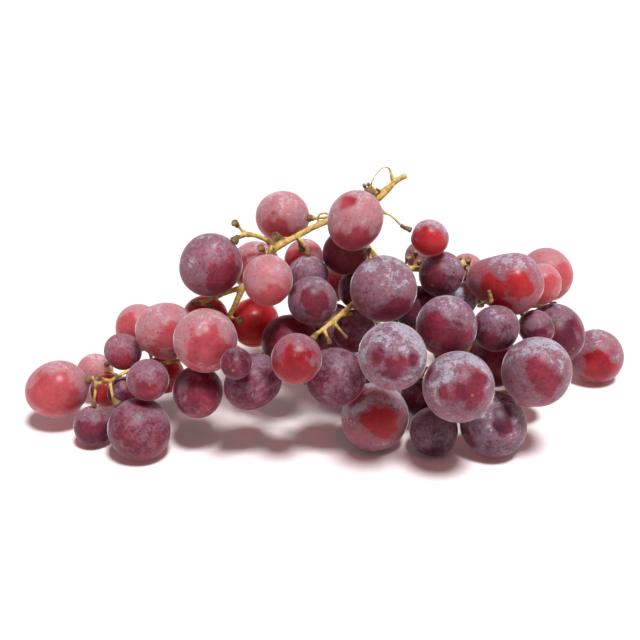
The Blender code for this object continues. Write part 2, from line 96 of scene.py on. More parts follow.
# How a grape looks. bloom is how much wax it keeps, and ripe how dark its skin is, mostly from 0 to 1. Each
# patch is where the wax is rubbed off: how far across and up from the middle of the grape's near face, in
# its own radius, and how wide. scar is where its blossom scar shows, if that isn't straight across from its
# stem end.
Patch = namedtuple("Patch", "across up width")
Look = namedtuple("Look", "bloom ripe patches scar", defaults=(None,))
LOOKS = {
    1: Look(0.74, 0.30, [Patch(-0.2, -0.6, 0.40)]),
    2: Look(0.64, 0.30, [Patch(0.6, -0.5, 0.5)]),
    3: Look(0.72, 0.15, [Patch(0.0, -0.6, 0.7)]),
    4: Look(0.66, 0.05, [Patch(0.1, -0.8, 0.45)]),
    5: Look(0.35, 0.30, [Patch(-0.4, -0.1, 0.5)]),
    6: Look(0.66, 0.40, []),
    7: Look(0.58, 0.65, [Patch(0.05, 0.0, 0.45)]),
    8: Look(0.70, 0.65, [Patch(0.1, -0.85, 0.5), Patch(-0.3, 0.6, 0.28)]),
    9: Look(0.30, -0.30, [Patch(0.0, -0.4, 0.8)]),
    10: Look(0.40, 0.40, []),
    11: Look(0.75, 0.50, [Patch(0.35, -0.7, 0.45)]),
    # Grape 12 is painted lighter, with more pale wax and a lighter skin: a painted glow standing for light
    # that shines through it in the shade
    12: Look(1.00, -0.50, []),
    # Grape 13 has a lighter red skin: a painted glow standing for light that shines through it in the shade
    13: Look(0.15, 0.05, [Patch(0.0, 0.0, 1.2)]),
    14: Look(0.25, 0.10, [Patch(0.0, 0.3, 0.9)]),
    15: Look(0.50, 0.10, [Patch(-0.1, -0.4, 0.7)]),
    16: Look(0.60, 0.45, [Patch(0.45, -0.2, 0.4)]),
    17: Look(0.55, 0.55, [Patch(0.15, -0.15, 0.5)]),
    18: Look(0.55, 0.20, [Patch(0.1, -0.7, 0.5)]),
    19: Look(0.40, 0.40, [Patch(0.0, -0.5, 0.35)]),
    20: Look(0.50, 0.20, [Patch(0.1, -0.3, 0.7)]),
    21: Look(0.65, -0.10, []),
    22: Look(0.35, 0.30, [Patch(0.3, 0.1, 0.6)]),
    23: Look(0.38, 0.45, [Patch(-0.2, -0.4, 0.6)]),
    24: Look(0.28, 0.65, []),
    25: Look(0.20, 0.60, []),
    26: Look(0.50, 0.50, [Patch(0.2, 0.2, 0.5)]),
    27: Look(0.14, 0.85, []),
    28: Look(0.32, 0.80, []),
    29: Look(0.58, 0.75, [Patch(0.15, -0.4, 0.65)]),
    30: Look(0.40, 0.60, [Patch(0.1, 0.1, 0.8)]),
    31: Look(0.28, 0.90, []),
    32: Look(0.40, 0.25, []),
    33: Look(1.18, 0.60, [Patch(-0.5, -0.05, 0.25), Patch(0.05, -0.35, 0.3), Patch(0.55, -0.1, 0.2)]),
    34: Look(1.00, 0.45, [Patch(0.25, -0.05, 0.40), Patch(-0.4, 0.1, 0.16)]),
    35: Look(0.45, 0.80, []),
    36: Look(0.84, 0.60, [Patch(0.05, -0.1, 0.45), Patch(-0.55, -0.1, 0.16), Patch(0.62, 0.3, 0.16)]),
    37: Look(0.66, 0.75, [Patch(0.1, 0.2, 0.3)]),
    38: Look(0.68, 0.55, [Patch(-0.5, -0.1, 0.4), Patch(0.1, -0.6, 0.5)]),
    39: Look(0.56, 0.45, [Patch(-0.3, -0.7, 0.4)]),
    40: Look(0.82, 0.30, [Patch(-0.2, 0.0, 0.3), Patch(0.15, -0.25, 0.32)]),
    41: Look(0.36, 0.78, [Patch(0.0, -0.6, 0.5)]),
    42: Look(0.45, 0.80, [Patch(0.15, -0.3, 0.6)]),
    43: Look(0.68, 0.70, [Patch(-0.05, -0.25, 0.4), Patch(-0.1, -0.6, 0.3)]),
    44: Look(0.72, 0.25, [Patch(-0.5, -0.25, 0.28), Patch(0.15, -0.15, 0.32)]),
    45: Look(0.50, 0.05, [Patch(-0.2, -0.3, 0.5)], (0.66, 0.29)),
    46: Look(0.55, 0.05, [Patch(0.4, -0.1, 0.45)]),
    47: Look(0.85, 0.20, [Patch(-0.1, -0.45, 0.7)]),
    48: Look(0.60, 0.40, [Patch(-0.55, -0.2, 0.6)]),
    49: Look(0.60, 0.10, []),
    50: Look(1.30, 0.40, []),
    51: Look(0.40, 0.40, []),
    52: Look(0.25, 0.30, [Patch(0.0, 0.0, 0.7)]),
    53: Look(0.00, 0.60, []),
    54: Look(0.00, 0.60, []),
    56: Look(0.10, 0.30, []),
    57: Look(0.20, 0.30, []),
    58: Look(0.10, 0.40, []),
    59: Look(0.50, 0.30, []),
}
# The look of a grape that the photograph doesn't show
HIDDEN_LOOK = Look(0.62, 0.45, [Patch(-0.4, -0.3, 0.5)])
GRAPE_NODES = sorted(name for name in frame["nodes"] if name.startswith("grape_"))
SLOT_OF = {row["node"]: row["material_slot"] for row in frame["record"]["subparts"]}


def smooth_step(low, high, value):
    t = np.clip((value - low) / (high - low), 0, 1)
    return t * t * (3 - 2 * t)


def unit(vectors):
    vectors = np.asarray(vectors, float)
    return vectors / np.linalg.norm(vectors, axis=-1, keepdims=True)


class StageSettings(PropertyGroup):
    """The camera, the lights and the surface that the bunch lies on."""

    view_elevation: FloatProperty(
        name="View Elevation", description="How far the camera looks down",
        default=math.radians(25), min=0, max=math.pi / 2, subtype="ANGLE")
    view_distance: FloatProperty(
        name="View Distance", description="From the camera to the middle of the view",
        default=0.420, min=0.2, max=5, unit="LENGTH")
    view_middle: FloatVectorProperty(
        name="View Middle", description="The point that the camera looks at",
        default=(-0.0069, 0.0003, 0.040), unit="LENGTH")
    pixels_per_mm: FloatProperty(
        name="Pixels per Millimetre", description="Scale of the photograph at the middle of the view",
        default=2.6, min=0.1, max=20)
    floor_colour: FloatVectorProperty(
        name="Floor", description="Colour of the surface", subtype="COLOR", size=3,
        default=(0.94, 0.86, 0.85), min=0, max=1)
    sky_strength: FloatProperty(
        name="Sky", description="Strength of the even light from above", default=0.14, min=0, max=5)
    low_sky_strength: FloatProperty(
        name="Low Sky", description="Strength of the light from low down all round",
        default=0.50, min=0, max=5)
    far_sky_strength: FloatProperty(
        name="Far Sky", description="Strength that the low light rises to on the far side",
        default=1.0, min=0, max=5)
    sky_colour: FloatVectorProperty(
        name="Sky Colour", description="Colour of the light all round, very slightly rosy",
        subtype="COLOR", size=3, default=(1.0, 0.95, 0.98), min=0, max=1)
    sun_strength: FloatProperty(
        name="Sun", description="Strength of the main light, high up at the front",
        default=4.1, min=0, max=20)
    sun_direction: FloatVectorProperty(
        name="Sun Direction", description="Towards the main light", default=(0.16, -0.33, 0.93))
    sun_size: FloatProperty(
        name="Sun Size", description="Angle across the main light",
        default=math.radians(14), min=0, max=1, subtype="ANGLE")


class SkinSettings(PropertyGroup):
    """The grapes' skins."""

    skin_detail: IntProperty(
        name="Skin Detail", description="Times that a grape's twenty-sided start is divided",
        default=5, min=2, max=6)
    unevenness: FloatProperty(
        name="Unevenness", description="How far a grape is from a true egg, as a share of its radius",
        default=0.012, min=0, max=0.1)
    stem_dimple: FloatProperty(
        name="Stem Dimple", description="Depth of the hollow round the berry stalk",
        default=0.25 * MM, min=0, max=0.002, unit="LENGTH")
    rubbed_width: FloatProperty(
        name="Rubbed Width", description="Angle across the spot that a neighbour rubs clean",
        default=math.radians(24), min=0, max=1, subtype="ANGLE")
    veil_colour: FloatVectorProperty(
        name="Veil", description="Colour of thin wax on the darker grapes", subtype="COLOR", size=3,
        default=(0.250, 0.158, 0.208), min=0, max=1)
    pale_veil_colour: FloatVectorProperty(
        name="Pale Veil", description="Colour of thin wax on the pink grapes", subtype="COLOR", size=3,
        default=(0.40, 0.26, 0.29), min=0, max=1)
    crust_colour: FloatVectorProperty(
        name="Crust", description="Colour of thick wax on the darker grapes", subtype="COLOR", size=3,
        default=(0.375, 0.36, 0.42), min=0, max=1)
    pale_crust_colour: FloatVectorProperty(
        name="Pale Crust", description="Colour of thick wax on the pink grapes", subtype="COLOR", size=3,
        default=(0.48, 0.40, 0.45), min=0, max=1)
    sheen: FloatProperty(
        name="Sheen", description="Strength of the pale rim that fine wax dust gives a grape",
        default=0.85, min=0, max=1)
    scar_colour: FloatVectorProperty(
        name="Scar", description="Colour of the scar at the grape's tip", subtype="COLOR", size=3,
        default=(0.32, 0.17, 0.06), min=0, max=1)


class StalkSettings(PropertyGroup):
    """The woody stalk."""

    grain_size: FloatProperty(
        name="Grain Size", description="Size of the stalk's mesh faces",
        default=0.352 * MM, min=0.0001, max=0.002, unit="LENGTH")
    roughness_depth: FloatProperty(
        name="Bark Depth", description="Depth of the stalk's uneven surface",
        default=0.15 * MM, min=0, max=0.002, unit="LENGTH")
    wart_size: FloatProperty(
        name="Wart Size", description="Radius of the largest warts on a swollen end",
        default=0.42 * MM, min=0, max=0.002, unit="LENGTH")
    green_colour: FloatVectorProperty(
        name="Green Wood", description="Colour of the main stem", subtype="COLOR", size=3,
        default=(0.68, 0.47, 0.13), min=0, max=1)
    olive_colour: FloatVectorProperty(
        name="Olive Wood", description="Second colour of the stems", subtype="COLOR", size=3,
        default=(0.40, 0.25, 0.06), min=0, max=1)
    brown_colour: FloatVectorProperty(
        name="Brown Wood", description="Colour of the nodes and warty ends", subtype="COLOR", size=3,
        default=(0.115, 0.050, 0.018), min=0, max=1)
    pith_colour: FloatVectorProperty(
        name="Pith", description="Colour of the wood inside broken ends", subtype="COLOR", size=3,
        default=(0.50, 0.36, 0.18), min=0, max=1)


def all_settings(context):
    scene = context.scene
    return scene.grape_stage, scene.grape_skins, scene.grape_stalk


def welded(mesh):
    """The mesh as a bmesh with its split corners joined again."""
    shape = bmesh.new()
    shape.from_mesh(mesh)
    bmesh.ops.remove_doubles(shape, verts=shape.verts, dist=WELD)
    return shape


SolidGrape = namedtuple("SolidGrape", "middle pole axis width length egg")


def read_grape(node, stalk_tree):
    """A grape's middle, stem end, axis and size, from the fan of faces round its stem end."""
    shape = welded(frame["nodes"][node].data)
    fans = [vertex for vertex in shape.verts if len(vertex.link_edges) == SOLID_SIDES]
    pole = min(fans, key=lambda vertex: stalk_tree.find(vertex.co)[2])
    ring = np.array([edge.other_vert(pole).co[:] for edge in pole.link_edges])
    tip = np.array(pole.co)
    shape.free()
    hub = ring.mean(0)
    lean = math.pi / SOLID_RINGS
    egg = EGG_SHAPES.get(node, USUAL_EGG)
    swell = 1 + egg * math.cos(lean) * math.sin(lean) ** 2
    length = 2 * np.linalg.norm(tip - hub) / (1 - math.cos(lean))
    width = 2 * np.linalg.norm(ring - hub, axis=1).mean() / (math.sin(lean) * swell)
    axis = unit(tip - hub)
    return SolidGrape(tip - axis * length / 2, tip, axis, width, length, egg)


def stalk_points():
    mesh = frame["nodes"]["stalk"].data
    tree = kdtree.KDTree(len(mesh.vertices))
    for vertex in mesh.vertices:
        tree.insert(vertex.co, vertex.index)
    tree.balance()
    return tree


def read_grapes():
    tree = stalk_points()
    return {node: read_grape(node, tree) for node in GRAPE_NODES}


def camera_axes(stage):
    """The view's right, up and towards-the-camera directions."""
    elevation = stage.view_elevation
    up = np.array([0, math.sin(elevation), math.cos(elevation)])
    towards = np.array([0, -math.cos(elevation), math.sin(elevation)])
    return np.array([1.0, 0, 0]), up, towards


def unit_ball(divisions):
    """A round mesh of even triangles with a radius of one, and its corners."""
    shape = bmesh.new()
    bmesh.ops.create_icosphere(shape, subdivisions=divisions, radius=1.0)
    mesh = bpy.data.meshes.new("grape_start")
    shape.to_mesh(mesh)
    shape.free()
    mesh.shade_smooth()
    corners = np.zeros(len(mesh.vertices) * 3, np.float32)
    mesh.vertices.foreach_get("co", corners)
    return mesh, unit(corners.reshape(-1, 3))


# The broad low swellings on each grape
SWELLINGS = 5


def gentle_lumps(ways, chance):
    """Broad low swellings over a grape, between about -1 and 1."""
    height = np.zeros(len(ways))
    for _ in range(SWELLINGS):
        middle = unit([chance.gauss(0, 1) for _ in range(3)])
        width = chance.uniform(0.5, 1.0)
        height += chance.uniform(-1, 1) * np.exp(-(1 - ways @ middle) / width ** 2)
    return height


def write_attribute(mesh, name, values):
    """Keeps a number, or a place, for each corner of a mesh."""
    kind, field = ("FLOAT_VECTOR", "vector") if np.ndim(values) == 2 else ("FLOAT", "value")
    attribute = mesh.attributes.new(name, kind, "POINT")
    attribute.data.foreach_set(field, np.asarray(values, np.float32).ravel())


def facing(across, up, axes):
    """The direction to a place on a ball's near face, across and up from its middle in radii."""
    depth = math.sqrt(max(0.05, 1 - across ** 2 - up ** 2))
    return unit(axes[0] * across + axes[1] * up + axes[2] * depth)


# The crooked edge of a rubbed patch: the waves in it, their pitch and a full turn of one, how ragged they
# make it, how far the patch reaches in its own widths, and how clean a neighbour rubs a grape
WAVES = range(3, 12)
WAVE_PITCH = 1.6
WAVE_TURN = 6.28
RAGGEDNESS = 0.28
PATCH_REACH = 1.6
NEIGHBOUR_RUB = 0.8


def crooked(ways, chance):
    """Crooked waves over a grape, between about -1 and 1, that put a patch's edge out of round."""
    height = np.zeros(len(ways))
    for wave in WAVES:
        way = unit([chance.gauss(0, 1) for _ in range(3)])
        height += np.sin(ways @ way * wave * WAVE_PITCH + chance.uniform(0, WAVE_TURN)) / math.sqrt(wave)
    return height


def rubbed_mask(ways, toward_neighbours, look, axes, width, chance):
    """Where the wax is gone: on the look's own patches, and where neighbours touch."""
    rubbed = np.zeros(len(ways))
    for patch in look.patches:
        angle = np.arccos(np.clip(ways @ facing(patch.across, patch.up, axes), -1, 1))
        ragged = angle / patch.width + RAGGEDNESS * crooked(ways, chance)
        rubbed = np.maximum(rubbed, np.clip(PATCH_REACH - ragged, 0, 1))
    for toward in toward_neighbours:
        angle = np.arccos(np.clip(ways @ toward, -1, 1))
        rubbed = np.maximum(rubbed, NEIGHBOUR_RUB * (1 - smooth_step(0.3 * width, width, angle)))
    return rubbed


# The dimple at a grape's stem end: where its floor ends and where its rim is, from the grape's axis
DIMPLE_FLOOR = 0.8 * MM
DIMPLE_RIM = 3.2 * MM
# Lumps die away near the stem end, between these two shares of the way along the grape
LUMPS_END = (0.75, 0.97)
# Wax is made thicker, and the skin paler, on the side that faces this way, up and towards the back: partly
# real wax and partly painted light falling on the upper side
WAX_AND_PAINTED_LIGHT_SIDE = np.array([0, 0.35, 0.94])


def make_skin(node, grape, ball, ways, toward_neighbours, skins, axes):
    """One grape's skin: an egg with a dimple at its stalk, slight lumps and a flat spot on the table."""
    number = int(node.split("_")[1])
    chance = random.Random(number)
    look = LOOKS.get(number, HIDDEN_LOOK)
    turn = np.array(Vector(grape.axis).to_track_quat("Z", "Y").to_matrix())
    along = ways[:, 2]
    swell = 1 + grape.egg * along * (1 - along ** 2)
    body = np.stack([ways[:, 0] * swell * grape.width / 2, ways[:, 1] * swell * grape.width / 2,
                     along * grape.length / 2], 1)
    size = (grape.width + grape.length) / 4
    lumps = gentle_lumps(ways, chance) * (1 - smooth_step(*LUMPS_END, along))
    from_axis = np.linalg.norm(body[:, :2], axis=1)
    dimple = np.where(along > 0, 1 - smooth_step(DIMPLE_FLOOR, DIMPLE_RIM, from_axis), 0)
    body *= (1 + skins.unevenness * lumps - skins.stem_dimple / size * dimple)[:, None]
    place = body @ turn.T + grape.middle
    place[:, 2] = np.maximum(place[:, 2], SKIN_CLEARANCE)

    mesh = ball.copy()
    mesh.name = node + "_skin"
    mesh.vertices.foreach_set("co", place.astype(np.float32).ravel())
    mesh.update()
    seed = np.array([chance.uniform(-1, 1) for _ in range(3)])
    outward = ways @ turn.T
    rubbed = rubbed_mask(outward, toward_neighbours, look, axes, skins.rubbed_width, chance)
    write_attribute(mesh, "skin_place", body + seed)
    # How far each corner faces that side: more wax there, and painted light on the upper side
    write_attribute(mesh, "wax_and_painted_light_side", 0.5 + 0.5 * outward @ WAX_AND_PAINTED_LIGHT_SIDE)
    write_attribute(mesh, "rubbed", rubbed)
    write_attribute(mesh, "bloom_kept", np.full(len(ways), look.bloom))
    write_attribute(mesh, "ripeness", np.full(len(ways), look.ripe))
    scar = np.array([0, 0, -grape.length / 2])
    if look.scar:
        scar = body[(outward @ facing(*look.scar, axes)).argmax()]
    tip_distance = np.linalg.norm(body - scar, axis=1)
    stem_distance = np.linalg.norm(body - np.array([0, 0, grape.length / 2]), axis=1)
    write_attribute(mesh, "tip_distance", tip_distance / MM)
    write_attribute(mesh, "stem_distance", stem_distance / MM)
    return mesh


# Grapes no farther apart than this have rubbed each other
TOUCHING_GAP = 1.2 * MM


def neighbours_of(node, grapes):
    """Directions towards the grapes that touch this one."""
    own = grapes[node]
    found = []
    for other, grape in grapes.items():
        apart = grape.middle - own.middle
        gap = np.linalg.norm(apart) - (own.length + grape.length) / 2
        if other != node and gap < TOUCHING_GAP:
            found.append(unit(apart))
    return found


def add_object(name, mesh):
    thing = bpy.data.objects.new(name, mesh)
    bpy.context.scene.collection.objects.link(thing)
    return thing


class NodeSheet:
    """Adds nodes to a tree and joins them with short calls."""

    def __init__(self, tree):
        self.tree = tree

    def add(self, kind, values=None, **settings):
        """A new node with its settings, and its inputs fed with the values."""
        node = self.tree.nodes.new(kind)
        for key, value in settings.items():
            setattr(node, key, value)
        for key, value in (values or {}).items():
            self.feed(node.inputs[key], value)
        return node

    def feed(self, socket, value):
        """Joins an output to the input, or sets a plain value on it."""
        if isinstance(value, bpy.types.NodeSocket):
            self.tree.links.new(value, socket)
        else:
            socket.default_value = value

    def noise(self, place, scale, detail=3.0, rough=0.55, distort=0.0):
        node = self.add("ShaderNodeTexNoise", {"Vector": place, "Scale": scale, "Detail": detail,
                                               "Roughness": rough, "Distortion": distort})
        return node.outputs["Fac"]

    def ridges(self, place, scale):
        """Thin crooked ridges, about 0 to 1."""
        node = self.add("ShaderNodeTexNoise", {"Vector": place, "Scale": scale, "Detail": 3.0},
                        noise_type="RIDGED_MULTIFRACTAL")
        return self.step(node.outputs["Fac"], 0.2, 1.6)

    def sway(self, noise, amount, start):
        """The start value moved up and down by a noise."""
        return self.math("MULTIPLY_ADD", self.math("SUBTRACT", noise, 0.5), amount, start)

    def math(self, operation, *values):
        node = self.add("ShaderNodeMath", operation=operation)
        for socket, value in zip(node.inputs, values):
            self.feed(socket, value)
        return node.outputs[0]

    def step(self, value, low, high, start=0.0, end=1.0):
        """A smooth change from start to end while the value goes from low to high."""
        node = self.add("ShaderNodeMapRange", {"Value": value, "From Min": low, "From Max": high,
                                               "To Min": start, "To Max": end},
                        interpolation_type="SMOOTHSTEP")
        return node.outputs["Result"]

    def mix(self, share, first, second, blend="MIX"):
        """The first colour, with the second laid over it by its share."""
        node = self.add("ShaderNodeMix", data_type="RGBA", blend_type=blend)
        self.feed(node.inputs["Factor"], share)
        colours = [socket for socket in node.inputs if socket.type == "RGBA"]
        self.feed(colours[0], first)
        self.feed(colours[1], second)
        return [socket for socket in node.outputs if socket.type == "RGBA"][0]

    def attribute(self, name, output="Fac"):
        return self.add("ShaderNodeAttribute", attribute_name=name).outputs[output]

    def stretched(self, place, stretch):
        """The place, scaled along each axis so that a texture is drawn out."""
        node = self.add("ShaderNodeVectorMath", operation="MULTIPLY")
        self.feed(node.inputs[0], place)
        node.inputs[1].default_value = stretch
        return node.outputs[0]


def new_group(name, inputs, outputs):
    """A shader node group with named sockets, and a sheet to fill it with."""
    tree = bpy.data.node_groups.new(name, "ShaderNodeTree")
    for socket, kind, default in inputs:
        made = tree.interface.new_socket(socket, in_out="INPUT", socket_type="NodeSocket" + kind)
        if default is not None:
            made.default_value = default
    for socket, kind in outputs:
        tree.interface.new_socket(socket, in_out="OUTPUT", socket_type="NodeSocket" + kind)
    sheet = NodeSheet(tree)
    return sheet, sheet.add("NodeGroupInput").outputs, sheet.add("NodeGroupOutput").inputs


# Pin-point specks: how sharp their edges are, and how few of a texture's cells hold one
SPECK_EDGE = (0.10, 0.24)
SPECK_CHOICE = (0.66, 0.8)


def fine_grain_group():
    """Tiny pits and dust, for skins and stalk alike: a mask and a height."""
    sheet, given, result = new_group(
        "Fine Grain", [("Place", "Vector", None), ("Scale", "Float", 900.0)],
        [("Specks", "Float"), ("Height", "Float")])
    cells = sheet.add("ShaderNodeTexVoronoi", {"Vector": given["Place"], "Scale": given["Scale"]})
    near = sheet.step(cells.outputs["Distance"], *SPECK_EDGE, start=1.0, end=0.0)
    cell_chance = sheet.add("ShaderNodeSeparateColor", {"Color": cells.outputs["Color"]}).outputs[0]
    sheet.feed(result["Specks"], sheet.math("MULTIPLY", near, sheet.step(cell_chance, *SPECK_CHOICE)))
    sheet.feed(result["Height"], sheet.noise(given["Place"], given["Scale"], detail=4.0, rough=0.6))
    return sheet.tree


# How fine each part of the wax is, in waves to the metre
CLOUD_SCALE = 95.0
PATCH_SCALE = 340.0
STREAK_SCALE = 700.0
CRACK_SCALE = 520.0
CRUMB_SCALE = 1300.0
MOTTLE_SCALE = 800.0
# Streaks are drawn out along the grape
STREAK_STRETCH = (1.0, 1.0, 0.25)
# How much wax a rubbed spot and a pin-point speck lose
RUBBED_LOSS = -1.4
SPECK_LOSS = -0.9
# The levels of wax between which the veil and the crust come up
VEIL_RISE = (-0.10, 0.75)
CRUST_RISE = (0.62, 0.94)
WAXY_ROUGHNESS = 0.58


def waxy_bloom_group():
    """A thin veil of wax with a paler crust where it is thick: streaked, cracked and rubbed in places."""
    sheet, given, result = new_group(
        "Waxy Bloom",
        [("Place", "Vector", None), ("Skin", "Color", None), ("Veil", "Color", None),
         ("Crust", "Color", None), ("Kept", "Float", 0.5), ("Rubbed", "Float", 0.0),
         ("Upward", "Float", 0.5), ("Specks", "Float", 0.0), ("Veil Share", "Float", 0.5),
         ("Crust Share", "Float", 0.7), ("Bare Roughness", "Float", 0.3), ("Mottle", "Float", 0.2)],
        [("Color", "Color"), ("Cover", "Float"), ("Roughness", "Float")])
    place = given["Place"]
    patches = sheet.noise(place, PATCH_SCALE, detail=6.0, rough=0.72, distort=0.6)
    clouds = sheet.noise(place, CLOUD_SCALE, detail=3.0, rough=0.6, distort=0.8)
    streaks = sheet.noise(sheet.stretched(place, STREAK_STRETCH), STREAK_SCALE, detail=4.0, rough=0.7)
    level = sheet.sway(clouds, amount=2.0, start=given["Kept"])
    level = sheet.sway(patches, amount=2.0, start=level)
    level = sheet.sway(streaks, amount=1.0, start=level)
    # The wax, and with it the paler colour, rises towards the upper far side: partly real wax and partly
    # painted light
    level = sheet.sway(given["Upward"], amount=0.75, start=level)
    level = sheet.math("MULTIPLY_ADD", given["Rubbed"], RUBBED_LOSS, level)
    level = sheet.math("MULTIPLY_ADD", given["Specks"], SPECK_LOSS, level)
    veil = sheet.step(level, *VEIL_RISE)
    crumbs = sheet.noise(place, CRUMB_SCALE, detail=3.0, rough=0.75)
    thick = sheet.sway(crumbs, amount=1.4, start=level)
    thick = sheet.sway(sheet.ridges(place, CRACK_SCALE), amount=0.7, start=thick)
    crust = sheet.step(thick, *CRUST_RISE)
    colour = sheet.mix(sheet.math("MULTIPLY", veil, given["Veil Share"]), given["Skin"], given["Veil"])
    colour = sheet.mix(sheet.math("MULTIPLY", crust, given["Crust Share"]), colour, given["Crust"])
    cover = sheet.math("MULTIPLY_ADD", crust, 0.5, sheet.math("MULTIPLY", veil, 0.5))
    mottle = sheet.noise(place, MOTTLE_SCALE, detail=4.0, rough=0.75)
    mottle = sheet.step(mottle, 0.30, 0.70, start=-1.0, end=1.0)
    mottle = sheet.math("MULTIPLY_ADD", mottle, given["Mottle"], 1.0)
    shade = sheet.add("ShaderNodeCombineColor", {"Red": mottle, "Green": mottle, "Blue": mottle})
    sheet.feed(result["Color"], sheet.mix(1.0, colour, shade.outputs[0], "MULTIPLY"))
    sheet.feed(result["Cover"], cover)
    sheet.feed(result["Roughness"], sheet.step(cover, 0.0, 0.9, given["Bare Roughness"], WAXY_ROUGHNESS))
    return sheet.tree


# The skin's cloudy colour, in waves to the metre, and how far round the stem and the blossom scar it is
# browned, in millimetres from each
RIPENING_SCALE = 130.0
STEM_BROWN = (1.6, 4.2)
SCAR_BROWN = (0.35, 0.85)
SCAR_RING = (0.5, 1.1)
SPECK_COLOUR = (0.02, 0.005, 0.01, 1)


def skin_flesh_group():
    """A thin skin over wet flesh: light to deep colour in cloudy patches, with dark pin-points."""
    sheet, given, result = new_group(
        "Skin over Flesh",
        [("Place", "Vector", None), ("Light", "Color", None), ("Deep", "Color", None),
         ("Ripe", "Float", 0.5), ("Tip Distance", "Float", 10.0), ("Stem Distance", "Float", 10.0),
         ("Scar", "Color", None), ("Specks", "Float", 0.0)],
        [("Color", "Color"), ("Scar Height", "Float")])
    ripening = sheet.noise(given["Place"], RIPENING_SCALE, detail=3.0, rough=0.6, distort=0.4)
    share = sheet.sway(ripening, amount=1.8, start=given["Ripe"])
    colour = sheet.mix(sheet.step(share, -0.1, 1.1), given["Light"], given["Deep"])
    dark_specks = sheet.math("MULTIPLY", given["Specks"], 0.35)
    colour = sheet.mix(dark_specks, colour, sheet.mix(0.6, given["Deep"], SPECK_COLOUR))
    near_stem = sheet.step(given["Stem Distance"], *STEM_BROWN, start=0.45, end=0.0)
    colour = sheet.mix(near_stem, colour, given["Scar"])
    near_tip = sheet.step(given["Tip Distance"], *SCAR_BROWN, start=0.6, end=0.0)
    colour = sheet.mix(near_tip, colour, given["Scar"])
    sheet.feed(result["Color"], colour)
    sheet.feed(result["Scar Height"], sheet.step(given["Tip Distance"], *SCAR_RING, start=1.0, end=0.0))
    return sheet.tree


# Light and deep skin colours, how see-through the flesh is and how far light spreads in it in mm, the
# shares of the veil and the crust, the bare skin's roughness, and how strongly it is mottled
Skin = namedtuple("Skin", "light deep glow spread veil crust roughness mottle")
SKINS = {
    "grape_rose": Skin(
        (0.42, 0.083, 0.095, 1), (0.26, 0.032, 0.055, 1), glow=1.0, spread=22.0,
        veil=0.62, crust=0.75, roughness=0.34, mottle=0.12),
    "grape_red": Skin(
        (0.40, 0.027, 0.033, 1), (0.21, 0.011, 0.020, 1), glow=0.95, spread=20.0,
        veil=0.65, crust=0.82, roughness=0.28, mottle=0.16),
    "grape_purple": Skin(
        (0.28, 0.034, 0.058, 1), (0.095, 0.012, 0.030, 1), glow=0.6, spread=12.0,
        veil=0.66, crust=0.85, roughness=0.40, mottle=0.28),
    "grape_dark": Skin(
        (0.20, 0.026, 0.050, 1), (0.042, 0.009, 0.024, 1), glow=0.5, spread=9.0,
        veil=0.62, crust=0.82, roughness=0.42, mottle=0.28),
}
# The light that goes on into a grape's shadow each time that it crosses the skin
LIGHT_THROUGH = (0.26, 0.08, 0.08, 1)
# The skin's own fine grain, in cells to the metre, and how much it and the scar stand out beside the wax
SKIN_GRAIN_SCALE = 520.0
SKIN_GRAIN_RELIEF = 0.25
SCAR_RELIEF = 3.0


def new_material(name):
    """A material, a sheet for its nodes, and its Principled shader."""
    material = bpy.data.materials.new(name)
    material.use_nodes = True
    sheet = NodeSheet(material.node_tree)
    return material, sheet, material.node_tree.nodes["Principled BSDF"]


def place_group(sheet, group, values):
    """Puts a node group into a material and gives back its outputs."""
    node = sheet.add("ShaderNodeGroup", node_tree=group)
    for key, value in values.items():
        sheet.feed(node.inputs[key], value)
    return node.outputs


def make_skin_material(slot, skin, groups, skins):
    """The finish of one colour of grape."""
    material, sheet, shader = new_material(slot)
    place = sheet.attribute("skin_place", "Vector")
    grain = place_group(sheet, groups["grain"], {"Place": place, "Scale": SKIN_GRAIN_SCALE})
    veil, crust = skins.veil_colour, skins.crust_colour
    if slot == "grape_rose":
        veil, crust = skins.pale_veil_colour, skins.pale_crust_colour
    flesh = place_group(sheet, groups["flesh"], {
        "Place": place, "Light": skin.light, "Deep": skin.deep, "Ripe": sheet.attribute("ripeness"),
        "Tip Distance": sheet.attribute("tip_distance"),
        "Stem Distance": sheet.attribute("stem_distance"),
        "Scar": (*skins.scar_colour, 1), "Specks": grain["Specks"]})
    bloom = place_group(sheet, groups["bloom"], {
        "Place": place, "Skin": flesh["Color"], "Veil": (*veil, 1), "Crust": (*crust, 1),
        "Kept": sheet.attribute("bloom_kept"), "Rubbed": sheet.attribute("rubbed"),
        "Upward": sheet.attribute("wax_and_painted_light_side"), "Specks": grain["Specks"],
        "Veil Share": skin.veil, "Crust Share": skin.crust, "Bare Roughness": skin.roughness,
        "Mottle": skin.mottle})
    sheet.feed(shader.inputs["Base Color"], bloom["Color"])
    sheet.feed(shader.inputs["Roughness"], bloom["Roughness"])
    height = sheet.math("MULTIPLY_ADD", grain["Height"], SKIN_GRAIN_RELIEF, bloom["Cover"])
    height = sheet.math("MULTIPLY_ADD", flesh["Scar Height"], SCAR_RELIEF, height)
    bump = sheet.add("ShaderNodeBump", {"Strength": 0.35, "Distance": 0.06 * MM, "Height": height})
    sheet.feed(shader.inputs["Normal"], bump.outputs["Normal"])
    shader.inputs["Subsurface Weight"].default_value = skin.glow
    shader.inputs["Subsurface Radius"].default_value = (1.0, 0.20, 0.18)
    shader.inputs["Subsurface Scale"].default_value = skin.spread * MM
    shader.inputs["IOR"].default_value = 1.42
    shader.inputs["Specular IOR Level"].default_value = 0.28
    shader.inputs["Sheen Weight"].default_value = skins.sheen
    shader.inputs["Sheen Roughness"].default_value = 0.20
    shader.inputs["Sheen Tint"].default_value = (0.95, 0.85, 0.95, 1)
    tint_shadow(material, sheet, shader)
    return material


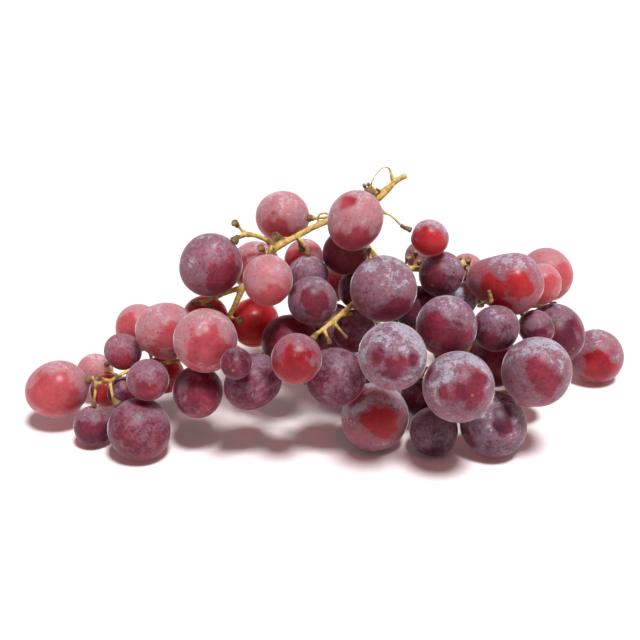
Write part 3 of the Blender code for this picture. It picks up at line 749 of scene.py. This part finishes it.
def tint_shadow(material, sheet, shader):
    """Lets some red light through a grape into its shadow."""
    passing = sheet.add("ShaderNodeBsdfTransparent", {"Color": LIGHT_THROUGH})
    shadow_ray = sheet.add("ShaderNodeLightPath").outputs["Is Shadow Ray"]
    joined = sheet.add("ShaderNodeMixShader", {"Fac": shadow_ray})
    sheet.feed(joined.inputs[1], shader.outputs["BSDF"])
    sheet.feed(joined.inputs[2], passing.outputs["BSDF"])
    sheet.feed(material.node_tree.nodes["Material Output"].inputs["Surface"], joined.outputs["Shader"])


def dress_grapes(context):
    """Every grape's skin, in its own place, with the finish of its slot."""
    stage, skins, _ = all_settings(context)
    groups = {"grain": fine_grain_group(), "bloom": waxy_bloom_group(), "flesh": skin_flesh_group()}
    materials = {slot: make_skin_material(slot, skin, groups, skins) for slot, skin in SKINS.items()}
    ball, ways = unit_ball(skins.skin_detail)
    grapes = read_grapes()
    axes = camera_axes(stage)
    for node in GRAPE_NODES:
        mesh = make_skin(node, grapes[node], ball, ways, neighbours_of(node, grapes), skins, axes)
        mesh.materials.append(materials[SLOT_OF[node]])
        piece = add_object(node + "_skin", mesh)
        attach(piece, "root")
        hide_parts(node)
    bpy.data.meshes.remove(ball)


# A swollen end of a berry stalk. One that holds a grape stops short of it by the grape gap. The bare ones are
# found in the solid stalk by their flat six-sided faces, which are nearly even and in this range of sizes
End = namedtuple("End", "middle outward radius bare")
END_SIDES = 6
SMALLEST_END = 0.42 * MM
LARGEST_END = 2.2 * MM
EVEN_END = 1.05
SAME_END = 0.6 * MM
FLAT_ENOUGH = math.radians(0.2)
GRAPE_GAP = 0.35 * MM


def stalk_ends(grapes):
    """The swollen ends of the berry stalks: one at each grape, and the bare ones."""
    tree = stalk_points()
    ends = []
    for grape in grapes.values():
        rim = tree.find(Vector(grape.pole))[2]
        ends.append(End(grape.pole + grape.axis * GRAPE_GAP, -grape.axis, rim, False))
    shape = welded(frame["nodes"]["stalk"].data)
    bmesh.ops.dissolve_limit(shape, angle_limit=FLAT_ENOUGH, verts=shape.verts, edges=shape.edges)
    for face in shape.faces:
        if len(face.verts) != END_SIDES:
            continue
        middle = np.array([vertex.co[:] for vertex in face.verts]).mean(0)
        reach = [np.linalg.norm(np.array(vertex.co) - middle) for vertex in face.verts]
        if max(reach) < EVEN_END * min(reach) and SMALLEST_END < min(reach) < LARGEST_END:
            if min(np.linalg.norm(middle - end.middle) for end in ends) > SAME_END:
                ends.append(End(middle, np.array(face.normal), min(reach), True))
    shape.free()
    return ends


def lump(ways, middle, radius, squash=1.0, outward=None):
    """The corners of one small round lump, flattened along its outward direction."""
    turn = Matrix.Identity(3)
    if outward is not None:
        turn = Vector(outward).to_track_quat("Z", "Y").to_matrix()
    return (ways * (radius, radius, radius * squash)) @ np.array(turn).T + middle


# A warty end. Its rim is a flat lump, a little back from the end and wider than it, and its warts sit on
# the swelling behind, which gets thinner by a share of its radius for each millimetre back
LUMP_DIVISIONS = 2
RIM_BACK = 0.25 * MM
RIM_WIDTH = 1.12
RIM_SQUASH = 0.32
BARE_END_WARTS = 18
GRAPE_END_WARTS = 14
WARTS_START = 0.35 * MM
WARTS_LENGTH = 2.4
WARTS_DEPTH = 0.92
SWELLING_TAPER = 0.20
LARGEST_WART = 0.34
ANY_SIDEWAYS = (0.3, 0.5, 0.8)


def warty_end(ways, end, chance, wart_size):
    """A flared rim, and warts round it and down the swelling: the corners of each lump."""
    axis = unit(end.outward)
    side = unit(np.cross(axis, ANY_SIDEWAYS))
    other = np.cross(axis, side)
    lumps = [lump(ways, end.middle - axis * RIM_BACK, end.radius * RIM_WIDTH, RIM_SQUASH, axis)]
    for _ in range(BARE_END_WARTS if end.bare else GRAPE_END_WARTS):
        angle = chance.uniform(0, 2 * math.pi)
        back = chance.uniform(0.0, WARTS_LENGTH) * MM
        shrink = 1 - SWELLING_TAPER * back / MM
        around = side * math.cos(angle) + other * math.sin(angle)
        spot = end.middle - axis * (WARTS_START + back) + around * end.radius * WARTS_DEPTH * shrink
        size = min(wart_size, LARGEST_WART * end.radius) * chance.uniform(0.6, 1.0)
        lumps.append(lump(ways, spot, size))
    return lumps


def add_lumps(shape, ends, chance, wart_size):
    """Adds every end's lumps to the stalk, as closed bodies that run into it."""
    ball, ways = unit_ball(LUMP_DIVISIONS)
    lumps = [corners for end in ends for corners in warty_end(ways, end, chance, wart_size)]
    sides = np.array([face.vertices[:] for face in ball.polygons])
    faces = np.concatenate([sides + number * len(ways) for number in range(len(lumps))])
    mesh = bpy.data.meshes.new("lumps")
    mesh.from_pydata(np.concatenate(lumps).tolist(), [], faces.tolist())
    shape.from_mesh(mesh)
    bpy.data.meshes.remove(mesh)
    bpy.data.meshes.remove(ball)


# The smoothing of the fused stalk: its rounds, and the two moves of each, as shares of the way from a
# corner to the middle of its neighbours
SMOOTH_ROUNDS = 5
SMOOTH_INWARD = 0.6
SMOOTH_OUTWARD = -0.55


def smooth_corners(corners, edges):
    """Takes the steps out of a mesh without thinning it, by turns inward and outward."""
    count = np.bincount(edges.ravel(), minlength=len(corners))[:, None]
    for share in (SMOOTH_INWARD, SMOOTH_OUTWARD) * SMOOTH_ROUNDS:
        total = np.zeros_like(corners)
        np.add.at(total, edges[:, 0], corners[edges[:, 1]])
        np.add.at(total, edges[:, 1], corners[edges[:, 0]])
        corners = corners + share * (total / count - corners)
    return corners


def mesh_arrays(mesh):
    """A mesh's corners, their normals, and its edges as pairs of corner numbers."""
    corners = np.zeros(len(mesh.vertices) * 3, np.float32)
    normals = np.zeros(len(mesh.vertices) * 3, np.float32)
    edges = np.zeros(len(mesh.edges) * 2, np.int32)
    mesh.vertices.foreach_get("co", corners)
    mesh.vertices.foreach_get("normal", normals)
    mesh.edges.foreach_get("vertices", edges)
    return corners.reshape(-1, 3).astype(float), normals.reshape(-1, 3).astype(float), edges.reshape(-1, 2)


def nearest_end(corners, ends):
    """For each corner, the number of the nearest end and how far it is."""
    best = np.full(len(corners), np.inf)
    which = np.zeros(len(corners), int)
    for number, end in enumerate(ends):
        distance = np.linalg.norm(corners - end.middle, axis=1)
        closer = distance < best
        best[closer] = distance[closer]
        which[closer] = number
    return which, best


# The hollow in a bare end: its depth, how thick a slice of the end it moves, and where it starts and ends
# across it, in the end's radius
HOLLOW_DEPTH = 0.55 * MM
HOLLOW_SLICE = 0.8 * MM
HOLLOW_FLOOR = 0.25
HOLLOW_RIM = 0.8


def hollow_bare_ends(corners, ends):
    """Sinks the middle of each end whose grape is gone."""
    for end in ends:
        if not end.bare:
            continue
        away = corners - end.middle
        height = away @ end.outward
        across = np.linalg.norm(away - height[:, None] * end.outward, axis=1)
        inside = 1 - smooth_step(HOLLOW_FLOOR * end.radius, HOLLOW_RIM * end.radius, across)
        inside = inside * (np.abs(height) < HOLLOW_SLICE)
        corners = corners - (inside * HOLLOW_DEPTH)[:, None] * end.outward
    return corners


# The bark's unevenness: how fine and how high its three parts are, the last only near the warty ends
FINE_BARK, FINE_HEIGHT = 0.9, 0.6
COARSE_BARK, COARSE_HEIGHT = 0.35, 1.0
WARTY_BARK, WARTY_HEIGHT = 1.7, 1.2
WARTY_REACH = (1.5 * MM, 4.0 * MM)
COARSE_SHIFT = Vector((7, 3, 1))


def bark_height(corners, best):
    """Uneven bark, as a share of its depth: low on the stems, coarse near the warty ends."""
    warty = 1 - smooth_step(*WARTY_REACH, best)
    height = np.zeros(len(corners))
    for index, corner in enumerate(corners):
        spot = Vector(corner) / MM
        fine = FINE_HEIGHT * noise.noise(spot * FINE_BARK)
        coarse = COARSE_HEIGHT * noise.noise(spot * COARSE_BARK + COARSE_SHIFT)
        height[index] = fine + coarse + warty[index] * WARTY_HEIGHT * noise.noise(spot * WARTY_BARK)
    return height


# The way that the main stem points at its cut end
TOWARDS_CUT = np.array([0.55, 0.0, 0.83])


def cut_end():
    """The broken end of the main stem: the stalk's farthest point up and to the right."""
    mesh = frame["nodes"]["stalk"].data
    corners = np.array([vertex.co[:] for vertex in mesh.vertices])
    return corners[(corners @ TOWARDS_CUT).argmax()]


# How fine the wood's grain, clouds, streaks and brown spread are, in waves to the metre
WOOD_GRAIN_SCALE = 1300.0
WOOD_CLOUD_SCALE = 210.0
WOOD_STREAK_SCALE = 900.0
WOOD_SPREAD_SCALE = 420.0


def make_stalk_material(stalk, grain_group):
    """Yellow-green wood that turns brown at the nodes and ends."""
    material, sheet, shader = new_material("stalk")
    place = sheet.add("ShaderNodeTexCoord").outputs["Object"]
    grain = place_group(sheet, grain_group, {"Place": place, "Scale": WOOD_GRAIN_SCALE})
    clouds = sheet.noise(place, WOOD_CLOUD_SCALE, detail=4.0, rough=0.6, distort=0.3)
    streaks = sheet.noise(place, WOOD_STREAK_SCALE, detail=3.0, rough=0.6)
    flecks = sheet.noise(place, WOOD_SPREAD_SCALE, detail=4.0, rough=0.7)
    share = sheet.sway(streaks, amount=1.4, start=clouds)
    wood = sheet.mix(sheet.step(share, 0.30, 0.68), (*stalk.green_colour, 1), (*stalk.olive_colour, 1))
    spread = sheet.sway(clouds, amount=1.2, start=sheet.attribute("woody"))
    spread = sheet.sway(flecks, amount=2.2, start=spread)
    spread = sheet.math("MULTIPLY_ADD", grain["Specks"], 0.6, spread)
    pale_brown = tuple(2.0 * shade for shade in stalk.brown_colour)
    brown = sheet.mix(sheet.step(streaks, 0.35, 0.7), (*stalk.brown_colour, 1), (*pale_brown, 1))
    colour = sheet.mix(sheet.step(spread, 0.22, 0.75, start=0.0, end=0.9), wood, brown)
    pith = sheet.math("MULTIPLY", sheet.attribute("pith"), 0.5)
    colour = sheet.mix(pith, colour, (*stalk.pith_colour, 1))
    sheet.feed(shader.inputs["Base Color"], colour)
    rough = sheet.step(grain["Height"], 0.3, 0.7, start=0.5, end=0.75)
    sheet.feed(shader.inputs["Roughness"], rough)
    bump = sheet.add("ShaderNodeBump", {"Strength": 0.6, "Distance": 0.12 * MM, "Height": grain["Height"]})
    sheet.feed(shader.inputs["Normal"], bump.outputs["Normal"])
    shader.inputs["Subsurface Weight"].default_value = 0.15
    shader.inputs["Subsurface Radius"].default_value = (1.0, 0.6, 0.2)
    shader.inputs["Subsurface Scale"].default_value = 0.8 * MM
    return material


def fuse_stalk(shape, grain_size):
    """One closed skin over the stalk's solid and its added warts."""
    mesh = bpy.data.meshes.new("stalk_rough")
    shape.to_mesh(mesh)
    rough = add_object("stalk_rough", mesh)
    remesh = rough.modifiers.new("skin", "REMESH")
    remesh.mode = "VOXEL"
    remesh.voxel_size = grain_size
    graph = bpy.context.evaluated_depsgraph_get()
    fine = bpy.data.meshes.new_from_object(rough.evaluated_get(graph))
    bpy.data.objects.remove(rough)
    bpy.data.meshes.remove(mesh)
    return fine


# The seed of the warts' random places
STALK_SEED = 7
# Where the wood is brown: near the ends, and a little on the side branches at the left, less and less
# between these two places. Pith shows in the bare ends and in the cut end
BROWN_REACH = (1.2 * MM, 5.5 * MM)
LEFT_BRANCH = (-70 * MM, -40 * MM)
LEFT_BRANCH_BROWN = 0.3
END_PITH = (0.3 * MM, 0.9 * MM)
CUT_PITH = (0.8 * MM, 2.2 * MM)


def move_corners(mesh, corners):
    mesh.vertices.foreach_set("co", corners.astype(np.float32).ravel())
    mesh.update()


def dress_stalk(context):
    """The fine stalk, with warty ends and bark, in the place of the solid one."""
    _, _, stalk = all_settings(context)
    grapes = read_grapes()
    ends = stalk_ends(grapes)
    chance = random.Random(STALK_SEED)
    shape = welded(frame["nodes"]["stalk"].data)
    add_lumps(shape, ends, chance, stalk.wart_size)
    fine = fuse_stalk(shape, stalk.grain_size)
    shape.free()
    corners, _, edges = mesh_arrays(fine)
    corners = smooth_corners(corners, edges)
    move_corners(fine, hollow_bare_ends(corners, ends))
    corners, normals, _ = mesh_arrays(fine)
    which, best = nearest_end(corners, ends)
    corners = corners + normals * (stalk.roughness_depth * bark_height(corners, best))[:, None]
    corners[:, 2] = np.maximum(corners[:, 2], STALK_CLEARANCE)
    move_corners(fine, corners)
    fine.shade_smooth()
    woody = 1 - smooth_step(*BROWN_REACH, best)
    woody = np.maximum(woody, LEFT_BRANCH_BROWN * (1 - smooth_step(*LEFT_BRANCH, corners[:, 0])))
    bare = np.array([end.bare for end in ends])[which]
    pith = bare * (1 - smooth_step(*END_PITH, best))
    from_cut = np.linalg.norm(corners - cut_end(), axis=1)
    pith = np.maximum(pith, 1 - smooth_step(*CUT_PITH, from_cut))
    write_attribute(fine, "woody", woody)
    write_attribute(fine, "pith", pith)
    fine.materials.clear()
    fine.materials.append(make_stalk_material(stalk, bpy.data.node_groups["Fine Grain"]))
    piece = add_object("stalk_bark", fine)
    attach(piece, "root")
    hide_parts("stalk")


def make_sun(stage):
    """The main light: fairly soft, high up and a little to the right of the camera."""
    lamp = bpy.data.lights.new("sun", "SUN")
    lamp.energy = stage.sun_strength
    lamp.angle = stage.sun_size
    sun = bpy.data.objects.new("sun", lamp)
    bpy.context.scene.collection.objects.link(sun)
    sun.rotation_euler = Vector(stage.sun_direction).to_track_quat("Z", "Y").to_euler()


# The surface: its half width in lengths of the bunch, how far it is under the lowest grapes, and how much
# and how finely its tone changes
FLOOR_REACH = 60
FLOOR_GAP = 0.1 * MM
FLOOR_TONE_SCALE = 14.0
FLOOR_TONE = 0.97


def make_floor(stage):
    """A wide pale surface under the bunch."""
    shape = bmesh.new()
    bmesh.ops.create_grid(shape, x_segments=1, y_segments=1, size=FLOOR_REACH * LENGTH)
    mesh = bpy.data.meshes.new("floor")
    shape.to_mesh(mesh)
    shape.free()
    floor = add_object("floor", mesh)
    floor.location.z = -FLOOR_GAP
    material, sheet, shader = new_material("floor")
    place = sheet.add("ShaderNodeTexCoord").outputs["Object"]
    clouds = sheet.noise(place, FLOOR_TONE_SCALE, detail=2.0)
    darker = tuple(FLOOR_TONE * shade for shade in stage.floor_colour)
    tone = sheet.mix(clouds, (*stage.floor_colour, 1), (*darker, 1))
    sheet.feed(shader.inputs["Base Color"], tone)
    shader.inputs["Roughness"].default_value = 0.6
    mesh.materials.append(material)


def make_camera(stage):
    """The photograph's camera: its direction, distance and scale, with the picture moved up to fit."""
    _, _, towards = camera_axes(stage)
    lens = bpy.data.cameras.new("camera")
    lens.sensor_width = SENSOR_WIDTH
    lens.lens = stage.pixels_per_mm * stage.view_distance / MM / PHOTO_SIZE * SENSOR_WIDTH
    lens.shift_y = (MIDDLE_ROW - PHOTO_SIZE / 2) / PHOTO_SIZE
    camera = bpy.data.objects.new("camera", lens)
    bpy.context.scene.collection.objects.link(camera)
    camera.location = Vector(stage.view_middle) + Vector(towards) * stage.view_distance
    camera.rotation_euler = Vector(-towards).to_track_quat("-Z", "Y").to_euler()
    bpy.context.scene.camera = camera


def make_sky(stage):
    """A pale sky, brighter low down and most so on the far side, for pale rims on the grapes."""
    world = bpy.data.worlds.new("studio")
    world.use_nodes = True
    sheet = NodeSheet(world.node_tree)
    place = sheet.add("ShaderNodeTexCoord").outputs["Generated"]
    ways = sheet.add("ShaderNodeSeparateXYZ", {"Vector": place}).outputs
    low_sky = sheet.step(ways["Y"], 0.1, 0.9, stage.low_sky_strength, stage.far_sky_strength)
    strength = sheet.step(ways["Z"], 0.1, 0.6, low_sky, stage.sky_strength)
    background = world.node_tree.nodes["Background"]
    sheet.feed(background.inputs["Strength"], strength)
    background.inputs["Color"].default_value = (*stage.sky_colour, 1)
    bpy.context.scene.world = world


class GRAPES_OT_stage(Operator):
    """Adds the pale surface, the soft lights and the camera"""

    bl_idname = "grapes.stage"
    bl_label = "Stage"

    def execute(self, context):
        stage, _, _ = all_settings(context)
        context.scene.view_settings.view_transform = "Standard"
        make_floor(stage)
        make_sky(stage)
        make_sun(stage)
        make_camera(stage)
        return {"FINISHED"}


class GRAPES_OT_skins(Operator):
    """Gives every grape a smooth skin with its bloom, scar and colour"""

    bl_idname = "grapes.skins"
    bl_label = "Grape Skins"

    def execute(self, context):
        dress_grapes(context)
        return {"FINISHED"}


class GRAPES_OT_stalk(Operator):
    """Gives the stalk its bark, warty ends and colour"""

    bl_idname = "grapes.stalk"
    bl_label = "Stalk"

    def execute(self, context):
        dress_stalk(context)
        return {"FINISHED"}


OPERATORS = (GRAPES_OT_stage, GRAPES_OT_skins, GRAPES_OT_stalk)


class GRAPES_PT_panel(Panel):
    """The bunch's operators and settings"""

    bl_label = "Bunch of Grapes"
    bl_space_type = "VIEW_3D"
    bl_region_type = "UI"
    bl_category = "Grapes"

    def draw(self, context):
        for operator in OPERATORS:
            self.layout.operator(operator.bl_idname)
        for settings in all_settings(context):
            box = self.layout.box()
            for name in settings.__annotations__:
                box.prop(settings, name)


CLASSES = (StageSettings, SkinSettings, StalkSettings, *OPERATORS, GRAPES_PT_panel)


def register():
    for each in CLASSES:
        bpy.utils.register_class(each)
    bpy.types.Scene.grape_stage = PointerProperty(type=StageSettings)
    bpy.types.Scene.grape_skins = PointerProperty(type=SkinSettings)
    bpy.types.Scene.grape_stalk = PointerProperty(type=StalkSettings)


def unregister():
    del bpy.types.Scene.grape_stalk
    del bpy.types.Scene.grape_skins
    del bpy.types.Scene.grape_stage
    for each in reversed(CLASSES):
        bpy.utils.unregister_class(each)


def main():
    register()
    bpy.ops.grapes.stage()
    bpy.ops.grapes.skins()
    bpy.ops.grapes.stalk()


if __name__ == "__main__":
    main()
